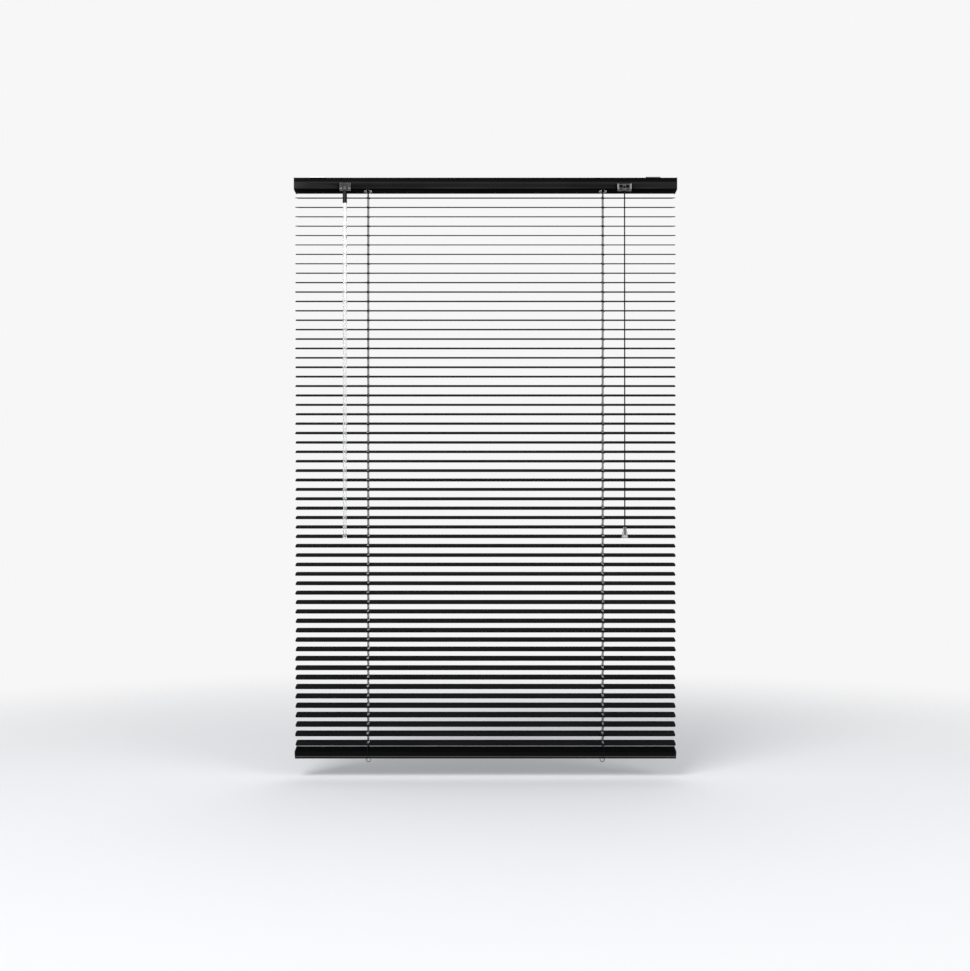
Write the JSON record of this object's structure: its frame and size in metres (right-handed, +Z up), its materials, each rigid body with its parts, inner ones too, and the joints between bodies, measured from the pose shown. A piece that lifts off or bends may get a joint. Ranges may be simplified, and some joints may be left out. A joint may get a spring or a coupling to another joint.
{
  "type": "venetian blind",
  "caption": "Slim horizontal-slat window blind with a headrail, tilt wand, pull cord, ladder cords and a bottom rail.",
  "frame": {"origin": "middle of the plane that the two mounting brackets are screwed to, on top of the blind", "axes": "+X along the slats to the right as seen from the room, -Y toward the room, +Z up"},
  "size_m": [0.8, 0.0423, 1.2251],
  "materials": {
    "headrail_paint": "dark grey satin paint",
    "slat_paint": "black satin paint on aluminium",
    "black_plastic": "black moulded plastic",
    "clear_plastic": "clear moulded plastic",
    "clear_grey_plastic": "milky clear plastic",
    "white_plastic": "natural white nylon",
    "zinc_steel": "zinc plated steel",
    "brass": "plain brass",
    "black_cord": "black braided polyester"
  },
  "bodies": {
    "frame": {"headrail": "headrail_paint", "end_caps": "black_plastic", "mounting_brackets": "zinc_steel", "ladder_cradles": "clear_grey_plastic", "tilter_housing": "clear_grey_plastic", "cord_lock": "clear_grey_plastic", "lift_cords": "black_cord", "pull_cord": "black_cord", "cord_tassel": "clear_plastic", "shared_slats": "slat_paint"},
    "tilt_shaft": {"tilt_rod": "zinc_steel", "ladder_drums": "white_plastic", "tilter_gear": "white_plastic"},
    "worm_stem": {"tilter_worm": "clear_grey_plastic"},
    "wand_swivel": {"wand_connector": "black_plastic"},
    "wand": {"tilt_wand": "clear_plastic"},
    "lock_roller": {"cord_lock_roller": "brass"},
    "front_ladder": {"front_strands": "black_cord", "ladder_rungs": "black_cord"},
    "rear_ladder": {"rear_strands": "black_cord"},
    "foot": {"bottom_rail": "slat_paint", "bottom_rail_caps": "black_plastic", "bottom_rail_plugs": "clear_grey_plastic"},
    "body_slat_02": {"slat_02": "slat_paint"},
    "body_slat_03": {"slat_03": "slat_paint"},
    "body_slat_05": {"slat_05": "slat_paint"},
    "body_slat_06": {"slat_06": "slat_paint"},
    "body_slat_08": {"slat_08": "slat_paint"},
    "body_slat_09": {"slat_09": "slat_paint"},
    "body_slat_11": {"slat_11": "slat_paint"},
    "body_slat_13": {"slat_13": "slat_paint"},
    "body_slat_14": {"slat_14": "slat_paint"},
    "body_slat_16": {"slat_16": "slat_paint"},
    "body_slat_17": {"slat_17": "slat_paint"},
    "body_slat_19": {"slat_19": "slat_paint"},
    "body_slat_21": {"slat_21": "slat_paint"},
    "body_slat_22": {"slat_22": "slat_paint"},
    "body_slat_24": {"slat_24": "slat_paint"},
    "body_slat_25": {"slat_25": "slat_paint"},
    "body_slat_27": {"slat_27": "slat_paint"},
    "body_slat_29": {"slat_29": "slat_paint"},
    "body_slat_30": {"slat_30": "slat_paint"},
    "body_slat_32": {"slat_32": "slat_paint"},
    "body_slat_33": {"slat_33": "slat_paint"},
    "body_slat_35": {"slat_35": "slat_paint"},
    "body_slat_37": {"slat_37": "slat_paint"},
    "body_slat_38": {"slat_38": "slat_paint"},
    "body_slat_40": {"slat_40": "slat_paint"},
    "body_slat_41": {"slat_41": "slat_paint"},
    "body_slat_43": {"slat_43": "slat_paint"},
    "body_slat_45": {"slat_45": "slat_paint"},
    "body_slat_46": {"slat_46": "slat_paint"},
    "body_slat_48": {"slat_48": "slat_paint"},
    "body_slat_49": {"slat_49": "slat_paint"},
    "body_slat_51": {"slat_51": "slat_paint"},
    "body_slat_53": {"slat_53": "slat_paint"},
    "body_slat_54": {"slat_54": "slat_paint"},
    "body_slat_56": {"slat_56": "slat_paint"},
    "body_slat_57": {"slat_57": "slat_paint"},
    "body_slat_59": {"slat_59": "slat_paint"}
  },
  "joints": [
    {"name": "tilt", "type": "hinge", "parent": "frame", "child": "tilt_shaft", "pos_m": [0, 0, -0.016], "axis": [1, 0, 0], "range_deg": [-120, 60], "deforming": ["shared_slats", "lift_cords"]},
    {"name": "worm_turn", "type": "hinge", "parent": "frame", "child": "worm_stem", "pos_m": [-0.2925, -0.0135, -0.025], "axis": [0, 0.5, 0.866], "range_deg": [-2000, 2000]},
    {"name": "wand_swing", "type": "hinge", "parent": "frame", "child": "wand_swivel", "pos_m": [-0.2925, -0.0185, -0.03366], "axis": [-1, 0, 0], "range_deg": [0, 60]},
    {"name": "wand_turn", "type": "hinge", "parent": "wand_swivel", "child": "wand", "pos_m": [-0.2925, -0.0185, -0.1], "axis": [0, 0, 1], "range_deg": [-2000, 2000]},
    {"name": "lock_roller_slide", "type": "slide", "parent": "frame", "child": "lock_roller", "axis": [0, -0.5736, 0.8192], "range_m": [0, 0.004]},
    {"name": "front_ladder_slide", "type": "slide", "parent": "frame", "child": "front_ladder", "axis": [0, 0, 1], "range_m": [-0.009, 0.016], "deforming": ["front_strands", "ladder_rungs"]},
    {"name": "rear_ladder_slide", "type": "slide", "parent": "front_ladder", "child": "rear_ladder", "axis": [0, 0, 1], "range_m": [-0.032, 0.018], "deforming": ["rear_strands"]},
    {"name": "foot_tilt", "type": "hinge", "parent": "frame", "child": "foot", "pos_m": [0, 0, -1.203], "axis": [1, 0, 0], "range_deg": [-81, 41]},
    {"name": "slat_02_tilt", "type": "hinge", "parent": "frame", "child": "body_slat_02", "pos_m": [0, 0, -0.0591], "axis": [1, 0, 0], "range_deg": [-81, 41]},
    {"name": "slat_03_tilt", "type": "hinge", "parent": "frame", "child": "body_slat_03", "pos_m": [0, 0, -0.0788], "axis": [1, 0, 0], "range_deg": [-81, 41]},
    {"name": "slat_05_tilt", "type": "hinge", "parent": "frame", "child": "body_slat_05", "pos_m": [0, 0, -0.1182], "axis": [1, 0, 0], "range_deg": [-81, 41]},
    {"name": "slat_06_tilt", "type": "hinge", "parent": "frame", "child": "body_slat_06", "pos_m": [0, 0, -0.1379], "axis": [1, 0, 0], "range_deg": [-81, 41]},
    {"name": "slat_08_tilt", "type": "hinge", "parent": "frame", "child": "body_slat_08", "pos_m": [0, 0, -0.1773], "axis": [1, 0, 0], "range_deg": [-81, 41]},
    {"name": "slat_09_tilt", "type": "hinge", "parent": "frame", "child": "body_slat_09", "pos_m": [0, 0, -0.197], "axis": [1, 0, 0], "range_deg": [-81, 41]},
    {"name": "slat_11_tilt", "type": "hinge", "parent": "frame", "child": "body_slat_11", "pos_m": [0, 0, -0.2364], "axis": [1, 0, 0], "range_deg": [-81, 41]},
    {"name": "slat_13_tilt", "type": "hinge", "parent": "frame", "child": "body_slat_13", "pos_m": [0, 0, -0.2758], "axis": [1, 0, 0], "range_deg": [-81, 41]},
    {"name": "slat_14_tilt", "type": "hinge", "parent": "frame", "child": "body_slat_14", "pos_m": [0, 0, -0.2955], "axis": [1, 0, 0], "range_deg": [-81, 41]},
    {"name": "slat_16_tilt", "type": "hinge", "parent": "frame", "child": "body_slat_16", "pos_m": [0, 0, -0.3349], "axis": [1, 0, 0], "range_deg": [-81, 41]},
    {"name": "slat_17_tilt", "type": "hinge", "parent": "frame", "child": "body_slat_17", "pos_m": [0, 0, -0.3546], "axis": [1, 0, 0], "range_deg": [-81, 41]},
    {"name": "slat_19_tilt", "type": "hinge", "parent": "frame", "child": "body_slat_19", "pos_m": [0, 0, -0.394], "axis": [1, 0, 0], "range_deg": [-81, 41]},
    {"name": "slat_21_tilt", "type": "hinge", "parent": "frame", "child": "body_slat_21", "pos_m": [0, 0, -0.4334], "axis": [1, 0, 0], "range_deg": [-81, 41]},
    {"name": "slat_22_tilt", "type": "hinge", "parent": "frame", "child": "body_slat_22", "pos_m": [0, 0, -0.4531], "axis": [1, 0, 0], "range_deg": [-81, 41]},
    {"name": "slat_24_tilt", "type": "hinge", "parent": "frame", "child": "body_slat_24", "pos_m": [0, 0, -0.4925], "axis": [1, 0, 0], "range_deg": [-81, 41]},
    {"name": "slat_25_tilt", "type": "hinge", "parent": "frame", "child": "body_slat_25", "pos_m": [0, 0, -0.5122], "axis": [1, 0, 0], "range_deg": [-81, 41]},
    {"name": "slat_27_tilt", "type": "hinge", "parent": "frame", "child": "body_slat_27", "pos_m": [0, 0, -0.5516], "axis": [1, 0, 0], "range_deg": [-81, 41]},
    {"name": "slat_29_tilt", "type": "hinge", "parent": "frame", "child": "body_slat_29", "pos_m": [0, 0, -0.591], "axis": [1, 0, 0], "range_deg": [-81, 41]},
    {"name": "slat_30_tilt", "type": "hinge", "parent": "frame", "child": "body_slat_30", "pos_m": [0, 0, -0.6107], "axis": [1, 0, 0], "range_deg": [-81, 41]},
    {"name": "slat_32_tilt", "type": "hinge", "parent": "frame", "child": "body_slat_32", "pos_m": [0, 0, -0.6501], "axis": [1, 0, 0], "range_deg": [-81, 41]},
    {"name": "slat_33_tilt", "type": "hinge", "parent": "frame", "child": "body_slat_33", "pos_m": [0, 0, -0.6698], "axis": [1, 0, 0], "range_deg": [-81, 41]},
    {"name": "slat_35_tilt", "type": "hinge", "parent": "frame", "child": "body_slat_35", "pos_m": [0, 0, -0.7092], "axis": [1, 0, 0], "range_deg": [-81, 41]},
    {"name": "slat_37_tilt", "type": "hinge", "parent": "frame", "child": "body_slat_37", "pos_m": [0, 0, -0.7486], "axis": [1, 0, 0], "range_deg": [-81, 41]},
    {"name": "slat_38_tilt", "type": "hinge", "parent": "frame", "child": "body_slat_38", "pos_m": [0, 0, -0.7683], "axis": [1, 0, 0], "range_deg": [-81, 41]},
    {"name": "slat_40_tilt", "type": "hinge", "parent": "frame", "child": "body_slat_40", "pos_m": [0, 0, -0.8077], "axis": [1, 0, 0], "range_deg": [-81, 41]},
    {"name": "slat_41_tilt", "type": "hinge", "parent": "frame", "child": "body_slat_41", "pos_m": [0, 0, -0.8274], "axis": [1, 0, 0], "range_deg": [-81, 41]},
    {"name": "slat_43_tilt", "type": "hinge", "parent": "frame", "child": "body_slat_43", "pos_m": [0, 0, -0.8668], "axis": [1, 0, 0], "range_deg": [-81, 41]},
    {"name": "slat_45_tilt", "type": "hinge", "parent": "frame", "child": "body_slat_45", "pos_m": [0, 0, -0.9062], "axis": [1, 0, 0], "range_deg": [-81, 41]},
    {"name": "slat_46_tilt", "type": "hinge", "parent": "frame", "child": "body_slat_46", "pos_m": [0, 0, -0.9259], "axis": [1, 0, 0], "range_deg": [-81, 41]},
    {"name": "slat_48_tilt", "type": "hinge", "parent": "frame", "child": "body_slat_48", "pos_m": [0, 0, -0.9653], "axis": [1, 0, 0], "range_deg": [-81, 41]},
    {"name": "slat_49_tilt", "type": "hinge", "parent": "frame", "child": "body_slat_49", "pos_m": [0, 0, -0.985], "axis": [1, 0, 0], "range_deg": [-81, 41]},
    {"name": "slat_51_tilt", "type": "hinge", "parent": "frame", "child": "body_slat_51", "pos_m": [0, 0, -1.0244], "axis": [1, 0, 0], "range_deg": [-81, 41]},
    {"name": "slat_53_tilt", "type": "hinge", "parent": "frame", "child": "body_slat_53", "pos_m": [0, 0, -1.0638], "axis": [1, 0, 0], "range_deg": [-81, 41]},
    {"name": "slat_54_tilt", "type": "hinge", "parent": "frame", "child": "body_slat_54", "pos_m": [0, 0, -1.0835], "axis": [1, 0, 0], "range_deg": [-81, 41]},
    {"name": "slat_56_tilt", "type": "hinge", "parent": "frame", "child": "body_slat_56", "pos_m": [0, 0, -1.1229], "axis": [1, 0, 0], "range_deg": [-81, 41]},
    {"name": "slat_57_tilt", "type": "hinge", "parent": "frame", "child": "body_slat_57", "pos_m": [0, 0, -1.1426], "axis": [1, 0, 0], "range_deg": [-81, 41]},
    {"name": "slat_59_tilt", "type": "hinge", "parent": "frame", "child": "body_slat_59", "pos_m": [0, 0, -1.182], "axis": [1, 0, 0], "range_deg": [-81, 41]}
  ],
  "couplings": [
    {"joint": "worm_turn", "follows": "tilt", "ratio": -15},
    {"joint": "wand_turn", "follows": "tilt", "ratio": -15},
    {"joint": "front_ladder_slide", "follows": "tilt", "m_per_rad": -0.007},
    {"joint": "rear_ladder_slide", "follows": "tilt", "m_per_rad": 0.014},
    {"joint": "foot_tilt", "follows": "tilt", "ratio": 0.66667},
    {"joint": "slat_02_tilt", "follows": "tilt", "ratio": 0.66667},
    {"joint": "slat_03_tilt", "follows": "tilt", "ratio": 0.66667},
    {"joint": "slat_05_tilt", "follows": "tilt", "ratio": 0.66667},
    {"joint": "slat_06_tilt", "follows": "tilt", "ratio": 0.66667},
    {"joint": "slat_08_tilt", "follows": "tilt", "ratio": 0.66667},
    {"joint": "slat_09_tilt", "follows": "tilt", "ratio": 0.66667},
    {"joint": "slat_11_tilt", "follows": "tilt", "ratio": 0.66667},
    {"joint": "slat_13_tilt", "follows": "tilt", "ratio": 0.66667},
    {"joint": "slat_14_tilt", "follows": "tilt", "ratio": 0.66667},
    {"joint": "slat_16_tilt", "follows": "tilt", "ratio": 0.66667},
    {"joint": "slat_17_tilt", "follows": "tilt", "ratio": 0.66667},
    {"joint": "slat_19_tilt", "follows": "tilt", "ratio": 0.66667},
    {"joint": "slat_21_tilt", "follows": "tilt", "ratio": 0.66667},
    {"joint": "slat_22_tilt", "follows": "tilt", "ratio": 0.66667},
    {"joint": "slat_24_tilt", "follows": "tilt", "ratio": 0.66667},
    {"joint": "slat_25_tilt", "follows": "tilt", "ratio": 0.66667},
    {"joint": "slat_27_tilt", "follows": "tilt", "ratio": 0.66667},
    {"joint": "slat_29_tilt", "follows": "tilt", "ratio": 0.66667},
    {"joint": "slat_30_tilt", "follows": "tilt", "ratio": 0.66667},
    {"joint": "slat_32_tilt", "follows": "tilt", "ratio": 0.66667},
    {"joint": "slat_33_tilt", "follows": "tilt", "ratio": 0.66667},
    {"joint": "slat_35_tilt", "follows": "tilt", "ratio": 0.66667},
    {"joint": "slat_37_tilt", "follows": "tilt", "ratio": 0.66667},
    {"joint": "slat_38_tilt", "follows": "tilt", "ratio": 0.66667},
    {"joint": "slat_40_tilt", "follows": "tilt", "ratio": 0.66667},
    {"joint": "slat_41_tilt", "follows": "tilt", "ratio": 0.66667},
    {"joint": "slat_43_tilt", "follows": "tilt", "ratio": 0.66667},
    {"joint": "slat_45_tilt", "follows": "tilt", "ratio": 0.66667},
    {"joint": "slat_46_tilt", "follows": "tilt", "ratio": 0.66667},
    {"joint": "slat_48_tilt", "follows": "tilt", "ratio": 0.66667},
    {"joint": "slat_49_tilt", "follows": "tilt", "ratio": 0.66667},
    {"joint": "slat_51_tilt", "follows": "tilt", "ratio": 0.66667},
    {"joint": "slat_53_tilt", "follows": "tilt", "ratio": 0.66667},
    {"joint": "slat_54_tilt", "follows": "tilt", "ratio": 0.66667},
    {"joint": "slat_56_tilt", "follows": "tilt", "ratio": 0.66667},
    {"joint": "slat_57_tilt", "follows": "tilt", "ratio": 0.66667},
    {"joint": "slat_59_tilt", "follows": "tilt", "ratio": 0.66667}
  ]
}
